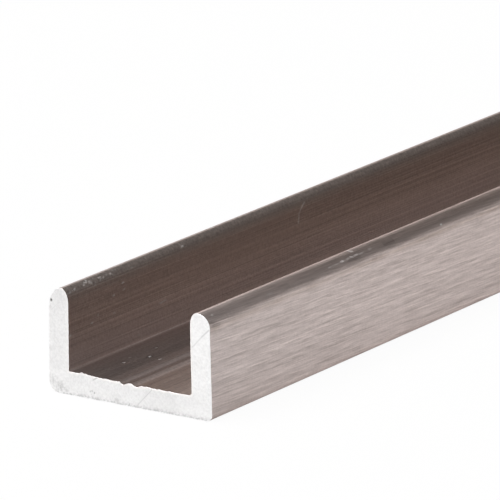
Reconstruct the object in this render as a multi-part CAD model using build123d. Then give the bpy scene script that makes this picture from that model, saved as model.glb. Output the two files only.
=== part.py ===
from build123d import *
import os

# A straight length of extruded aluminium U-channel, lying on its web with both legs up.
# X runs across the section, Y along the bar and Z up. The origin is the middle of the underside.
# All sizes are in millimetres.

# The bar
length = 304.8
width = 25.4
height = 14.0

# Its walls
leg_thickness = 3.1
web_thickness = 3.1

# Its corners. The free edge of each leg is fully rounded, tighter inside than outside.
bottom_corner_radius = 1.3
inside_corner_radius = 0.25
tip_inside_radius = 1.2

# Two shallow guide grooves run along the floor, one each side of the middle.
groove_from_middle = 1.0
groove_width = 1.1
groove_depth = 0.25


def half_outline():
    """The section's edge from the middle of the underside, round the right leg, to the middle of the floor."""
    outer_face = width / 2
    inner_face = outer_face - leg_thickness
    tip_outside_radius = leg_thickness - tip_inside_radius
    underside = Line((0, 0), (outer_face - bottom_corner_radius, 0))
    bottom_corner = JernArc(underside @ 1, underside % 1, bottom_corner_radius, 90)
    outside = Line(bottom_corner @ 1, (outer_face, height - tip_outside_radius))
    outer_tip = JernArc(outside @ 1, outside % 1, tip_outside_radius, 90)
    inner_tip = JernArc(outer_tip @ 1, outer_tip % 1, tip_inside_radius, 90)
    inside = Line(inner_tip @ 1, (inner_face, web_thickness + inside_corner_radius))
    inside_corner = JernArc(inside @ 1, inside % 1, inside_corner_radius, -90)
    floor = Line(inside_corner @ 1, (0, web_thickness))
    return [underside, bottom_corner, outside, outer_tip, inner_tip, inside, inside_corner, floor]


def floor_grooves():
    """Both grooves' round-bottomed cutters, circles whose lowest point is the groove's bottom."""
    radius = (groove_width**2 / 4 + groove_depth**2) / (2 * groove_depth)
    centre_height = web_thickness - groove_depth + radius
    return [Pos(side * groove_from_middle, centre_height) * Circle(radius) for side in (-1, 1)]


def channel_section():
    """The U-shaped section, drawn with its own Y as the bar's Z."""
    right = Curve() + half_outline()
    left = mirror(right, about=Plane.YZ)
    return make_face([*right.edges(), *left.edges()]) - floor_grooves()


def channel_bar():
    """The section carried along the bar, half of the length to each side of the origin."""
    return extrude(Plane.XZ * channel_section(), amount=length / 2, both=True)


os.makedirs("parts", exist_ok=True)
bar = channel_bar()
bar.label = "u_channel"
export_step(bar, "parts/u_channel.step")
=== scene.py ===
import math
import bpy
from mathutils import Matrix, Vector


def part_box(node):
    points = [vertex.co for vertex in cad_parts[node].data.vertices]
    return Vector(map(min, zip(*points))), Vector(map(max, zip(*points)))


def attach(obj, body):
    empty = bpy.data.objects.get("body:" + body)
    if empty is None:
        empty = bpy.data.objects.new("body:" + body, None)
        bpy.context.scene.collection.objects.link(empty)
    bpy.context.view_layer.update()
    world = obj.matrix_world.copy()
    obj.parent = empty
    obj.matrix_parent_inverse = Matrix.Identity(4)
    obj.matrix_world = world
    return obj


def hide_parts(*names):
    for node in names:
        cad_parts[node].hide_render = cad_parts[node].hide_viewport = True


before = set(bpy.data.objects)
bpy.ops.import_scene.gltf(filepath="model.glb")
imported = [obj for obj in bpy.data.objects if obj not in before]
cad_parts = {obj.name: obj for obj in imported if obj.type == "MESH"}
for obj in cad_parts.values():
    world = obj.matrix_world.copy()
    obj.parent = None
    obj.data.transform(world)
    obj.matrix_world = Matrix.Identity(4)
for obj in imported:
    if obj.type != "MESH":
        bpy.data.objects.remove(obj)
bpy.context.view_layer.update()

from types import SimpleNamespace

import bmesh
import bpy
import numpy as np
from bpy.props import FloatProperty, FloatVectorProperty, PointerProperty
from bpy.types import Operator, Panel, PropertyGroup
from mathutils import Matrix, Vector

bl_info = {
    "name": "Aluminium U-channel",
    "version": (1, 0, 0),
    "blender": (4, 5, 0),
    "location": "3D View > Sidebar > U-channel",
    "description": "Brushed, nickel-toned aluminium U-channel with bare sawn ends, on a pale studio floor",
    "category": "Object",
}

BODY = "root"
NODE = "u_channel"
BAR_LOW, BAR_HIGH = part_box(NODE)
BAR_SIZE = BAR_HIGH - BAR_LOW
BAR = "channel_bar"
MM = 0.001
QUARTER = 0.5 * math.pi

# The mesh's UV map, the masks of its skin and those of its sawn ends
GRAIN_MAP = "grain"
INSIDE = "inside"
# Painted light and shade over the skin
PAINTED_LIGHT_AND_SHADE = "shade"
WARMTH = "warmth"
TIP_SOIL = "tip_soil"
# Painted dark band on the right leg's outer bend
TIP_DARK_BAND = "tip_dark_band"
SHOULDER_STAIN = "shoulder_stain"
SETTLED_DUST = "settled_dust"
SAW_HAZE = "saw_haze"
CUT_MARKS = "cut_marks"
# Painted shade along the sawn ends' bottom edges
CUT_SHADE = "cut_shade"
# Painted highlight along the sawn ends' inner edges
CUT_EDGE_HIGHLIGHT = "cut_edge_highlight"
# Dullness of the sawn ends, with painted shade that makes their left leg darker
CUT_DULL_AND_SHADE = "cut_dull_and_shade"


# Settings


def length_setting(name, description, default):
    """A length that a user may change, in metres."""
    return FloatProperty(name=name, description=description, default=default, unit="LENGTH")


def pair_setting(name, description, left, right):
    """Two lengths that a user may change, in metres: the left leg's and the right one's."""
    pair = (left, right)
    return FloatVectorProperty(name=name, description=description, size=2, default=pair, unit="LENGTH")


def share_setting(name, description, default):
    """A share that a user may change."""
    return FloatProperty(name=name, description=description, default=default, subtype="FACTOR")


def angle_setting(name, description, degrees):
    """An angle that a user may change. Its default is given in degrees."""
    return FloatProperty(name=name, description=description, default=math.radians(degrees), unit="ROTATION")


def colour_setting(name, description, default):
    """A colour that a user may change."""
    return FloatVectorProperty(name=name, description=description, size=3, default=default, subtype="COLOR")


class ChannelSizes(PropertyGroup):
    """Sizes of the bar and of its section, in metres"""

    length: length_setting("Length", "Length of the bar along Y", BAR_SIZE.y)
    width: length_setting("Width", "Outside width across both legs", BAR_SIZE.x)
    height: length_setting("Height", "From the underside to the tops of the legs", BAR_SIZE.z)
    leg_thickness: length_setting("Leg thickness", "Thickness of each leg at its root", 3.1 * MM)
    web_thickness: length_setting("Web thickness", "Thickness of the web at the floor's left edge", 3.1 * MM)
    corner_radius: pair_setting("Bottom corners", "Radius, left and right", 1.7 * MM, 0.95 * MM)
    root_radius: length_setting("Inside corners", "Radius where a leg meets the floor", 0.17 * MM)
    tip_outside_width: pair_setting("Outer bend's width", "Left and right tip", 2.0 * MM, 1.97 * MM)
    tip_outside_height: pair_setting("Outer bend's height", "Left and right tip", 2.65 * MM, 1.7 * MM)
    tip_inside_height: pair_setting("Inner bend's height", "Left and right tip", 2.0 * MM, 1.8 * MM)
    groove_depth: length_setting("Groove depth", "From the floor's left edge to the deeper groove", 0.38 * MM)
    outside_lean: share_setting("Outside lean", "How far an outer face leans in, by its height", 0.0175)
    inside_lean: share_setting("Inside lean", "How far an inner face leans in, by its height", 0.0115)


class SawnEndSizes(PropertyGroup):
    """Sizes of what the saw left on the ends, in metres"""

    rim: length_setting("Rim", "Width of the broken edge round a sawn end", 0.03 * MM)
    burr_height: length_setting("Burr height", "Height of the burr along the floor's edge", 0.045 * MM)
    wall_burr: share_setting("Wall burr", "Share of the burr's height along the walls", 0.4)
    burr_reach: length_setting("Burr reach", "How far a burr runs back along the bar", 0.16 * MM)
    # Width of the painted highlight along a cut's inner edge
    edge_highlight: length_setting("Edge glow", "Width of the bright line along a cut's inner edge", 0.17 * MM)
    scratch_width: length_setting("Scratch width", "Width of a scratch on a sawn end", 0.11 * MM)
    scratch_depth: length_setting("Scratch depth", "Depth of a scratch on a sawn end", 0.03 * MM)


class FinishColours(PropertyGroup):
    """Colours and gloss of the bar's two finishes"""

    nickel: colour_setting("Dark brush lines", "Anodised skin", (0.405, 0.35, 0.333))
    nickel_worn: colour_setting("Light brush lines", "Anodised skin", (0.91, 0.806, 0.776))
    gloss_tint: colour_setting("Gloss tint", "Reflections on the anodised skin", (0.8, 0.7, 0.66))
    warm_tint: colour_setting("Warm tint", "Upper part of the inner walls", (1.0, 0.972, 0.905))
    # Tint of the painted dark band on the right leg's outer bend
    dark_band_tint: colour_setting("Dark band tint", "Outer bend of the right leg's tip", (0.53, 0.51, 0.485))
    stain_tint: colour_setting("Stain tint", "Below the right leg's tip", (0.74, 0.70, 0.66))
    soiled: colour_setting("Soiled skin", "Tip of the left leg", (0.61, 0.565, 0.54))
    dust: colour_setting("Dust", "Settled dust and the saw's haze", (0.385, 0.42, 0.44))
    # Colour of the light nicks and specks, and of the painted highlight lines among them
    light_mark: colour_setting("Light marks", "Nicks and specks on the skin", (0.62, 0.61, 0.6))
    dark_mark: colour_setting("Dark marks", "Tint of the smudges on the skin", (0.3, 0.28, 0.27))
    bare: colour_setting("Bare aluminium", "Sawn ends", (0.985, 0.985, 0.985))
    # Grey of the ends' dull parts and scratches, and of their painted shade
    bare_dull_and_shade: colour_setting("Dull and shaded aluminium", "Dull parts and scratches of the ends", (0.60, 0.60, 0.60))
    pit: colour_setting("Pits", "Deepest pits of the ends", (0.12, 0.11, 0.1))
    # Tint of the painted highlight along a cut's inner edge
    edge_highlight_tint: colour_setting("Edge tint", "Bright line along a cut's inner edge", (1.0, 0.96, 0.92))
    line_depth: length_setting("Line depth", "Depth of the brush lines", 0.05 * MM)
    anisotropy: share_setting("Anisotropy", "How far the brush lines draw out reflections", 0.8)
    nickel_roughness: share_setting("Skin roughness", "Roughness of the brushed skin", 0.36)
    bare_roughness: share_setting("End roughness", "Roughness of the sawn ends", 0.55)


class StudioSettings(PropertyGroup):
    """The camera, the pale surround and the grey card"""

    azimuth: angle_setting("Azimuth", "Camera's turn round the bar", 34.532)
    elevation: angle_setting("Elevation", "Camera's height angle", 15.784)
    roll: angle_setting("Roll", "Camera's tilt about its line of sight", -0.66)
    aim: FloatVectorProperty(
        name="Aim",
        description="Point the camera looks at",
        size=3,
        default=(0.005916, -0.133727, 0.01709),
        subtype="TRANSLATION",
    )
    distance: length_setting("Distance", "From the camera to the point it looks at", 0.81923)
    lens: FloatProperty(name="Lens", description="Focal length in millimetres", default=460.22)
    horizon: angle_setting("Bright horizon", "How high the pale surround reaches", 5.0)
    overhead: colour_setting("Overhead", "Colour of the surround overhead", (0.265, 0.25, 0.245))
    card: colour_setting("Grey card", "Card behind on the right", (0.3, 0.29, 0.28))
    floor_size: length_setting("Floor size", "Width of the floor", 6.0)


# Ramps and tables


def smooth(t):
    """Smoothstep: 3 t^2 - 2 t^3, with t held from 0 to 1."""
    t = np.clip(t, 0.0, 1.0)
    return t * t * (3 - 2 * t)


def between(value, low, high):
    """From 0 at low to 1 at high, by smoothstep. The two may come in either order."""
    return smooth((value - low) / (high - low))


def looked_up(value, table):
    """The table's share at each length, on straight lines between its places in millimetres."""
    return np.interp(value / MM, *np.array(table).T)


# The section as points


def straight(start, end, count):
    """Points from start to end: start + (end - start) t, with t evenly from 0 to 1."""
    t = np.linspace(0.0, 1.0, count)[:, None]
    return np.asarray(start) + (np.asarray(end) - np.asarray(start)) * t


def bend(centre, radii, start, turn, count):
    """Points of an elliptical bend: centre + (rx cos a, rz sin a), with a from start to start + turn."""
    angle = start + turn * np.linspace(0.0, 1.0, count)
    return np.asarray(centre) + np.c_[radii[0] * np.cos(angle), radii[1] * np.sin(angle)]


def evenly(points, count):
    """The same path with count points, evenly spaced by the length along it."""
    steps = np.linalg.norm(np.diff(points, axis=0), axis=1)
    along = np.r_[0.0, np.cumsum(steps)]
    wanted = np.linspace(0.0, along[-1], count)
    return np.c_[np.interp(wanted, along, points[:, 0]), np.interp(wanted, along, points[:, 1])]


# The floor's drop from its left edge, with the two guide grooves: a place from the bar's middle, in
# millimetres, and the drop there, as a share of the deeper groove's
GROOVES = (
    (-7.2, 0.0), (-5.5, 0.18), (-4.0, 0.32), (-1.95, 0.32), (-0.98, 1.0), (-0.2, 0.18), (0.1, 0.16),
    (1.0, 0.97), (1.75, 0.37), (2.9, 0.32), (3.8, 0.44), (9.4, 0.37),
)
# How many points each stretch of the section has
TIP_POINTS = 30
LEG_POINTS = 84
CORNER_POINTS = 50
CORNER_BEND_POINTS = 40
CORNER_SIDE_POINTS = 20
FLOOR_POINTS = 250


def floor_height(x, sizes):
    """Height of the channel's floor at x: the web's thickness less the floor's drop.

    The drop goes by smoothstep from one place to the next, and stays as it is beyond the last.
    """
    place, share = np.array(GROOVES).T
    before = np.clip(np.searchsorted(place, x / MM) - 1, 0, len(place) - 2)
    t = smooth((x / MM - place[before]) / (place[before + 1] - place[before]))
    drop = share[before] * (1 - t) + share[before + 1] * t
    return sizes.web_thickness - sizes.groove_depth * drop


def mirrored(points):
    """The same points on the other side of the bar's middle, in the opposite order."""
    return points[::-1] * (-1.0, 1.0)


def leaned(points, sizes):
    """The legs' slight lean: each point moves inwards by its height times a share.

    The share falls from the outer face's lean to the inner one's, and to nothing as far in again.
    """
    x, z = points.T
    outer_face = 0.5 * sizes.width
    depth = np.clip((outer_face - np.abs(x)) / sizes.leg_thickness, 0.0, 2.0)
    share = np.interp(depth, (0.0, 1.0, 2.0), (sizes.outside_lean, sizes.inside_lean, 0.0))
    return np.c_[x - np.sign(x) * z * share, z]


def leg_outlines(sizes, side):
    """Outer and inner edge of one leg, as on the left, from its peak to where the floor starts.

    Both have the same number of points: a bend over the tip, a straight and a corner.
    """
    outer_face = -0.5 * sizes.width
    inner_face = outer_face + sizes.leg_thickness
    peak = outer_face + sizes.tip_outside_width[side]
    outer_shoulder = sizes.height - sizes.tip_outside_height[side]
    inner_shoulder = sizes.height - sizes.tip_inside_height[side]
    outer_bend = (sizes.tip_outside_width[side], sizes.tip_outside_height[side])
    inner_bend = (inner_face - peak, sizes.tip_inside_height[side])
    root = sizes.web_thickness + sizes.root_radius
    floor_start = inner_face + sizes.root_radius
    radius = sizes.corner_radius[side]
    outer_corner = np.vstack([
        straight((outer_face, root), (outer_face, radius), CORNER_SIDE_POINTS),
        bend((outer_face + radius, radius), (radius, radius), math.pi, QUARTER, CORNER_BEND_POINTS)[1:],
        straight((outer_face + radius, 0.0), (floor_start, 0.0), CORNER_SIDE_POINTS)[1:],
    ])
    outer = [
        bend((peak, outer_shoulder), outer_bend, QUARTER, QUARTER, TIP_POINTS),
        straight((outer_face, outer_shoulder), (outer_face, root), LEG_POINTS)[1:],
        evenly(outer_corner, CORNER_POINTS)[1:],
    ]
    inner = [
        bend((peak, inner_shoulder), inner_bend, QUARTER, -QUARTER, TIP_POINTS),
        straight((inner_face, inner_shoulder), (inner_face, root), LEG_POINTS)[1:],
        bend((floor_start, root), (sizes.root_radius,) * 2, math.pi, QUARTER, CORNER_POINTS)[1:],
    ]
    return np.vstack(outer), np.vstack(inner)


def wall_outlines(sizes):
    """The outer and the inner edge of the U, both from the left leg's peak round to the right leg's.

    Point k of one faces point k of the other across the wall.
    """
    outer_left, inner_left = leg_outlines(sizes, 0)
    outer_right, inner_right = leg_outlines(sizes, 1)
    floor_start = inner_left[-1, 0]
    across = straight((floor_start, 0.0), (-floor_start, 0.0), FLOOR_POINTS)[1:-1]
    floor = np.c_[across[:, 0], floor_height(across[:, 0], sizes)]
    outer = np.vstack([outer_left, across, mirrored(outer_right)])
    inner = np.vstack([inner_left, floor, mirrored(inner_right)])
    return leaned(outer, sizes), leaned(inner, sizes)


def ring_of(outer, inner):
    """One closed ring: the outer edge from the left peak to the right one, then the inner edge back."""
    return np.vstack([outer, inner[-2:0:-1]])


def outward(ring):
    """Outward normal at each point of the ring: the line between its neighbours, turned a quarter turn."""
    along = np.roll(ring, -1, axis=0) - np.roll(ring, 1, axis=0)
    along /= np.linalg.norm(along, axis=1)[:, None]
    return np.c_[along[:, 1], -along[:, 0]]


def distance_along(ring):
    """Length along the closed ring from its first point to each point."""
    steps = np.linalg.norm(np.diff(ring, axis=0), axis=1)
    return np.r_[0.0, np.cumsum(steps)]


# What the saw left


def rough_line(along, spacing, seed):
    """Smooth random values from 0 to 1 along a line: random numbers every spacing, joined by smoothstep."""
    knots = np.random.default_rng(seed).random(int(along.max() / spacing) + 3)
    place = along / spacing
    first = np.floor(place).astype(int)
    t = smooth(place - first)
    return knots[first] * (1 - t) + knots[first + 1] * t


# Bumps of the burr on the near end's floor edge, in millimetres: place across the bar, height and half width
NEAR_BURRS = (
    (-7.55, 0.20, 0.28),
    (-6.95, 0.12, 0.2),
    (-1.65, 0.12, 0.16),
    (-2.15, 0.05, 0.15),
    (-0.75, 0.06, 0.12),
    (2.6, 0.06, 0.2),
    (4.55, 0.09, 0.18),
    (6.1, 0.06, 0.2),
)
# Distance between neighbouring random numbers of the burr's fine and coarse lines
FINE_BURR = 0.3 * MM
COARSE_BURR = 2.2 * MM
# What the two lines' product is multiplied by, what is then taken off, and the most that may stay
BURR_CONTRAST = 2.4
BURR_THRESHOLD = 0.35
BURR_LIMIT = 1.6
# Seeds of the two ends' burrs
NEAR_SEED = 4
FAR_SEED = 9
# An inner edge below this height is the floor's
FLOOR_SIDE = 4 * MM
# Depths below the legs' tops where the burr ends and where it is full
BURR_END = 0.9 * MM
BURR_FULL = 3.9 * MM


def burr_heights(ring, outer_count, ends, bumps, seed):
    """Height of the burr at each point of the ring: a rough line above a threshold, and bell-shaped bumps.

    It stands on the inner edge, lower along the walls, and fades out towards the legs' tops.
    """
    along = distance_along(ring)
    fine = rough_line(along, FINE_BURR, seed)
    coarse = rough_line(along, COARSE_BURR, seed + 1)
    height = ends.burr_height * np.clip(BURR_CONTRAST * fine * coarse - BURR_THRESHOLD, 0.0, BURR_LIMIT)
    x, z = ring.T
    on_floor = z < FLOOR_SIDE
    height *= np.where(on_floor, 1.0, ends.wall_burr)
    for place, peak, half_width in bumps:
        height += on_floor * peak * MM * np.exp(-(((x - place * MM) / (half_width * MM)) ** 2))
    inner = np.arange(len(ring)) >= outer_count
    return inner * height * between(z.max() - z, BURR_END, BURR_FULL)


def line_distance(points, start, end):
    """Distance of each point from the line between start and end. Its foot on the line stays between them."""
    start, end = np.asarray(start), np.asarray(end)
    run = end - start
    t = np.clip((points - start) @ run / (run @ run), 0.0, 1.0)
    return np.linalg.norm(points - start - t[:, None] * run, axis=1)


def scratch_mask(points, lines, width):
    """From 0 to each line's strength: strength times exp(-(distance / width)^2), the largest of all lines."""
    mask = np.zeros(len(points))
    for start, end, strength in lines:
        near = np.exp(-((line_distance(points, np.array(start) * MM, np.array(end) * MM) / width) ** 2))
        mask = np.maximum(mask, strength * near)
    return mask


# How far the painted shade reaches up from a sawn end's bottom edge
BOTTOM_SHADE = 0.34 * MM


def bottom_shade_mask(points, shade_spots):
    """Painted shade on a sawn end, from 0 to 1: a bell round each of its spots, and one along the bottom
    edge.
    """
    x, z = points.T
    mask = np.exp(-((z / BOTTOM_SHADE) ** 2))
    for place_x, place_z, reach, strength in shade_spots:
        distance = np.hypot(x - place_x * MM, z - place_z * MM) / (reach * MM)
        mask = np.maximum(mask, strength * np.exp(-(distance**2)))
    return mask


# How dull a sawn end is, with painted shade that makes its left leg darker than its right, as a share: by
# millimetres across the web, and up each leg
WEB_DULLS_AND_SHADES = (
    (-11.0, 0.12), (-9.0, 0.22), (-7.0, 0.17), (-5.0, 0.19), (-3.0, 0.22), (0.0, 0.18), (1.5, 0.16),
    (3.0, 0.25), (6.0, 0.27), (7.5, 0.21), (9.0, 0.17), (11.5, 0.14),
)
LEFT_LEG_DULLS_AND_SHADES = ((3.5, 0.2), (5.0, 0.18), (6.5, 0.14), (8.0, 0.23), (9.5, 0.17), (11.0, 0.25), (13.0, 0.27))
RIGHT_LEG_DULLS_AND_SHADES = ((3.5, 0.08), (5.0, 0.02), (9.5, 0.0))
# The web's shares change to a leg's between these heights
WEB_TOP = 2.4 * MM
LEG_FOOT = 3.8 * MM


def dull_and_shade_mask(points):
    """How dull and shaded a sawn end is: by the place across the web, changing by smoothstep to the height on
    a leg.
    """
    x, z = points.T
    on_leg = np.where(x < 0, looked_up(z, LEFT_LEG_DULLS_AND_SHADES), looked_up(z, RIGHT_LEG_DULLS_AND_SHADES))
    leg_share = between(z, WEB_TOP, LEG_FOOT)
    return looked_up(x, WEB_DULLS_AND_SHADES) * (1 - leg_share) + on_leg * leg_share


# Marks on the sawn ends, in millimetres from the middle of the underside. Each scratch and each pit has two
# ends and a strength, and each spot of painted shade its place, reach and strength.
NEAR_SCRATCHES = (
    ((12.35, 12.05), (11.2, 10.95), 0.8),
    ((11.2, 10.95), (9.8, 9.45), 0.6),
    ((3.45, 2.8), (0.95, 0.15), 0.8),
    ((-10.9, 12.1), (-12.2, 10.85), 0.6),
    ((-9.7, 6.6), (-10.6, 5.7), 0.35),
    ((-5.1, 2.97), (-5.8, 2.55), 1.0),
    ((2.2, 2.9), (1.7, 2.35), 0.3),
)
NEAR_PITS = (
    ((-12.16, 12.3), (-12.13, 12.2), 3.5),
    ((-5.95, 1.1), (-5.9, 1.05), 1.1),
    ((-5.56, 0.9), (-5.6, 0.85), 1.3),
    ((-6.2, 1.0), (-6.25, 0.95), 1.0),
    ((-6.05, 0.65), (-6.0, 0.6), 0.7),
    ((-0.1, 0.3), (-0.15, 0.25), 1.3),
    ((-1.75, 0.2), (-1.8, 0.2), 1.0),
)
NEAR_SHADE_SPOTS = ((-10.9, 0.75, 0.8, 0.9), (-11.9, 1.5, 0.7, 0.5), (-10.1, 0.4, 0.6, 0.6), (-2.0, 0.4, 0.5, 0.5))
FAR_SCRATCHES = (
    ((-12.2, 9.1), (-9.9, 11.6), 0.45),
    ((-4.4, 0.2), (-1.9, 2.8), 0.5),
    ((10.1, 6.2), (12.0, 8.1), 0.25),
)
FAR_PITS = (((6.3, 1.4), (6.35, 1.35), 0.8), ((-8.2, 2.2), (-8.25, 2.15), 0.6))
FAR_SHADE_SPOTS = ((11.2, 0.8, 0.9, 0.6), (-2.5, 0.4, 0.7, 0.4))
# Each end's row in the bar's sides, the way it faces along Y, its marks and its spots of painted shade
ENDS = (
    (0, -1, NEAR_SCRATCHES, NEAR_PITS, NEAR_SHADE_SPOTS),
    (-1, 1, FAR_SCRATCHES, FAR_PITS, FAR_SHADE_SPOTS),
)
# Where the rings right behind a cut lie, in widths of its rim
RIM_STEPS = (0.0, 1.0, 2.0, 4.0, 8.0, 16.0)
# The other rings are this many, and start and end this far from the cuts
MIDDLE_RINGS = 21
END_ZONE = 6 * MM


def bar_sides(sizes, ends):
    """The ring carried along Y: one for each station, with a broken edge and a burr at each end."""
    outer, inner = wall_outlines(sizes)
    ring = ring_of(outer, inner)
    half = 0.5 * sizes.length
    reach = np.array(RIM_STEPS) * ends.rim
    middle = np.linspace(-half + END_ZONE, half - END_ZONE, MIDDLE_RINGS)
    stations = np.r_[-half + reach, middle, (half - reach)[::-1]]
    from_end = half - np.abs(stations)
    rim_inset = ends.rim * np.clip(1 - from_end / ends.rim, 0.0, 1.0)
    fade = np.exp(-((from_end / ends.burr_reach) ** 2))
    near = burr_heights(ring, len(outer), ends, NEAR_BURRS, NEAR_SEED)
    far = burr_heights(ring, len(outer), ends, (), FAR_SEED)
    push = np.where(stations[:, None] < 0, near, far) * fade[:, None] - rim_inset[:, None]
    section = ring[None] + outward(ring)[None] * push[..., None]
    side = np.stack([section[..., 0], np.broadcast_to(stations[:, None], push.shape), section[..., 1]], -1)
    return side, ring, len(outer), stations


# Painted light and shade inside, as a share: across the floor, by millimetres from the bar's middle, and up a
# wall, by millimetres above the floor. The floor is painted darker on its left and lighter by its grooves,
# and the wall darker upwards, with painted highlights along its root and at its top
FLOOR_SHADES = (
    (-9.4, 1.05), (-9.15, 0.87), (-8.9, 0.75), (-8.2, 0.65), (-6.0, 0.58), (-5.0, 0.51), (-3.75, 0.58),
    (-3.1, 0.78), (-1.8, 0.92), (-1.6, 0.93), (-1.45, 0.98), (-1.2, 1.09), (-1.0, 1.06), (-0.7, 1.03),
    (-0.4, 1.04), (0.0, 1.06), (0.5, 1.2), (0.95, 1.49), (1.25, 1.46), (1.4, 1.36), (1.6, 1.42), (1.95, 1.28),
    (2.3, 1.38), (2.7, 1.48), (3.4, 1.38), (3.9, 1.25), (9.4, 1.25),
)
WALL_SHADES = (
    (0.0, 1.3), (0.2, 1.22), (0.35, 1.06), (1.0, 1.07), (3.0, 1.0), (5.0, 0.88), (7.0, 0.79), (9.0, 0.72),
    (9.6, 0.7), (9.95, 0.62), (10.15, 0.55), (10.3, 0.6), (10.5, 0.68), (10.65, 0.76), (10.78, 0.68),
    (10.86, 0.84), (10.9, 0.95),
)
# Painted light on the outside of each leg's tip, with a painted highlight along the left one's, how far the
# right one's outer bend is painted darker, and how far it is stained below that, as a share by millimetres
# below the top
LEFT_TIP_SHADES = (
    (0.0, 1.55), (0.02, 1.24), (0.06, 1.04), (0.35, 1.02), (0.45, 1.1), (0.56, 1.25), (0.7, 1.46),
    (0.86, 1.36), (1.2, 1.1),
)
RIGHT_TIP_SHADES = ((0.9, 1.0), (1.1, 1.09), (1.5, 1.08), (1.75, 1.0))
TIP_DARK_BANDS = (
    (0.0, 0.15), (0.02, 0.85), (0.18, 1.0), (0.3, 0.75), (0.55, 0.84), (0.75, 0.65), (0.95, 0.35),
    (1.1, 0.1), (1.2, 0.0),
)
SHOULDER_STAINS = (
    (0.8, 0.0), (1.1, 0.25), (1.5, 0.35), (1.7, 1.0), (1.85, 0.8), (2.0, 0.45), (2.2, 0.15), (2.4, 0.0),
)
# Inner faces less than this above the web are the floor
FLOOR_EDGE = 0.1 * MM
# How far the saw's haze and the painted light and shade that change near a cut reach along the bar, how far
# the right tip's painted dark band, the stain below it and the painted shadow line along its bottom take to
# grow in, and dust up a wall
HAZE_REACH = 26 * MM
GROWTH_REACH = 35 * MM
DUST_REACH = 3.2 * MM


def ring_places(ring, outer_count, sizes):
    """Where each point of the ring is: its place, its depth below the top, its height and its face."""
    x, z = ring.T
    inner = np.arange(len(ring)) >= outer_count
    above_floor = z - sizes.web_thickness
    on_floor = inner & (above_floor < FLOOR_EDGE)
    return SimpleNamespace(
        x=x,
        z=z,
        below_top=sizes.height - z,
        above_floor=above_floor,
        inner=inner,
        on_floor=on_floor,
        on_wall=inner & ~on_floor,
        left=~inner & (x < 0),
        right=~inner & (x > 0),
    )


def bar_shares(stations, sizes):
    """Shares along the bar, by the distance from the nearer cut.

    haze falls by exp(-distance / reach), grown is 1 - exp(-distance / reach), and far goes evenly from 0 to 1
    at the bar's middle. Besides the saw's haze and dust, they set where painted light and shade change along
    the bar.
    """
    from_end = 0.5 * sizes.length - np.abs(stations)
    return SimpleNamespace(
        even=np.ones(len(stations)),
        haze=np.exp(-from_end / HAZE_REACH),
        grown=1 - np.exp(-from_end / GROWTH_REACH),
        far=from_end / (0.5 * sizes.length),
    )


def painted_light_and_shade_parts(at, bar):
    """Painted light and shade on the skin: tables round the section, and zones painted lighter or darker
    along the bar.
    """
    inside = np.where(at.on_floor, looked_up(at.x, FLOOR_SHADES), looked_up(at.above_floor, WALL_SHADES))
    outside = np.where(
        at.left, looked_up(at.below_top, LEFT_TIP_SHADES), looked_up(at.below_top, RIGHT_TIP_SHADES)
    )
    low_floor = 0.6 * at.on_floor * between(at.x, -3.2 * MM, -4 * MM)
    low_wall = at.on_wall * between(at.above_floor, 7 * MM, 4 * MM)
    # Painted shade on the left tip's outer bend, darker away from a cut
    left_peak = at.left * between(at.below_top, 0.7 * MM, 0.4 * MM)
    # Painted highlight along the right leg's peak, brightest by a cut
    right_peak = at.right * between(at.below_top, 0.04 * MM, 0.0)
    # Painted light low on the right outer face, away from a cut
    low_face = at.right * between(at.z, 2 * MM, 1 * MM)
    # Painted shadow line along the right outer face's bottom edge
    lower_edge = at.right * (at.z > 0.02 * MM) * between(at.z, 0.3 * MM, 0.12 * MM)
    return (
        (bar.even, np.where(at.inner, inside, outside)),
        (0.07 - 0.16 * bar.haze, low_floor + low_wall),
        (bar.haze, 0.25 * at.left + 0.35 * right_peak),
        (0.14 - 0.22 * bar.haze**2, low_face),
        (-0.2 - 0.3 * bar.grown, lower_edge),
        (bar.far, -0.16 * left_peak - 0.09 * at.on_wall),
    )


def warmth_parts(at, bar):
    """How warm the inside is: more with height on the walls, and on the right of the floor."""
    wall = 0.65 * at.on_wall * between(at.above_floor, 0.5 * MM, 7 * MM)
    floor = 0.5 * at.on_floor * between(at.x, -0.5 * MM, 2.5 * MM)
    return ((1 - 0.3 * bar.haze, wall), (bar.even, floor))


def soil_parts(at, bar):
    """How soiled the left leg's tip is: less with depth below the top, inside and outside."""
    inside = between(at.below_top, 1.1 * MM, 0.2 * MM)
    outside = between(at.below_top, 1.2 * MM, 0.0)
    return ((bar.even, (at.x < 0) * np.where(at.inner, inside, outside)),)


def stain_parts(at, bar):
    """How stained the right leg is below its tip: by its table, and a little lower down near a cut."""
    below = between(at.below_top, 1.7 * MM, 2.0 * MM) * between(at.below_top, 2.7 * MM, 2.2 * MM)
    return (
        (0.75 + 0.25 * bar.grown, at.right * looked_up(at.below_top, SHOULDER_STAINS)),
        (bar.haze, 0.4 * at.right * below),
    )


def dust_parts(at, bar):
    """How much dust has settled inside: most on the left, less up the wall by exp(-height / reach)."""
    settled = between(at.x, 1 * MM, -6 * MM) * np.exp(-at.above_floor / DUST_REACH)
    return ((0.7 + 1.8 * bar.haze, at.inner * settled),)


def haze_parts(at, bar):
    """How thick the saw's haze lies by a cut: more with height, and inside only up the walls."""
    inside = 0.25 * between(at.above_floor, 5 * MM, 9 * MM)
    outside = 0.3 + 0.7 * between(at.z, 1.5 * MM, 6 * MM)
    return ((bar.haze, np.where(at.inner, inside, outside)),)


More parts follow.
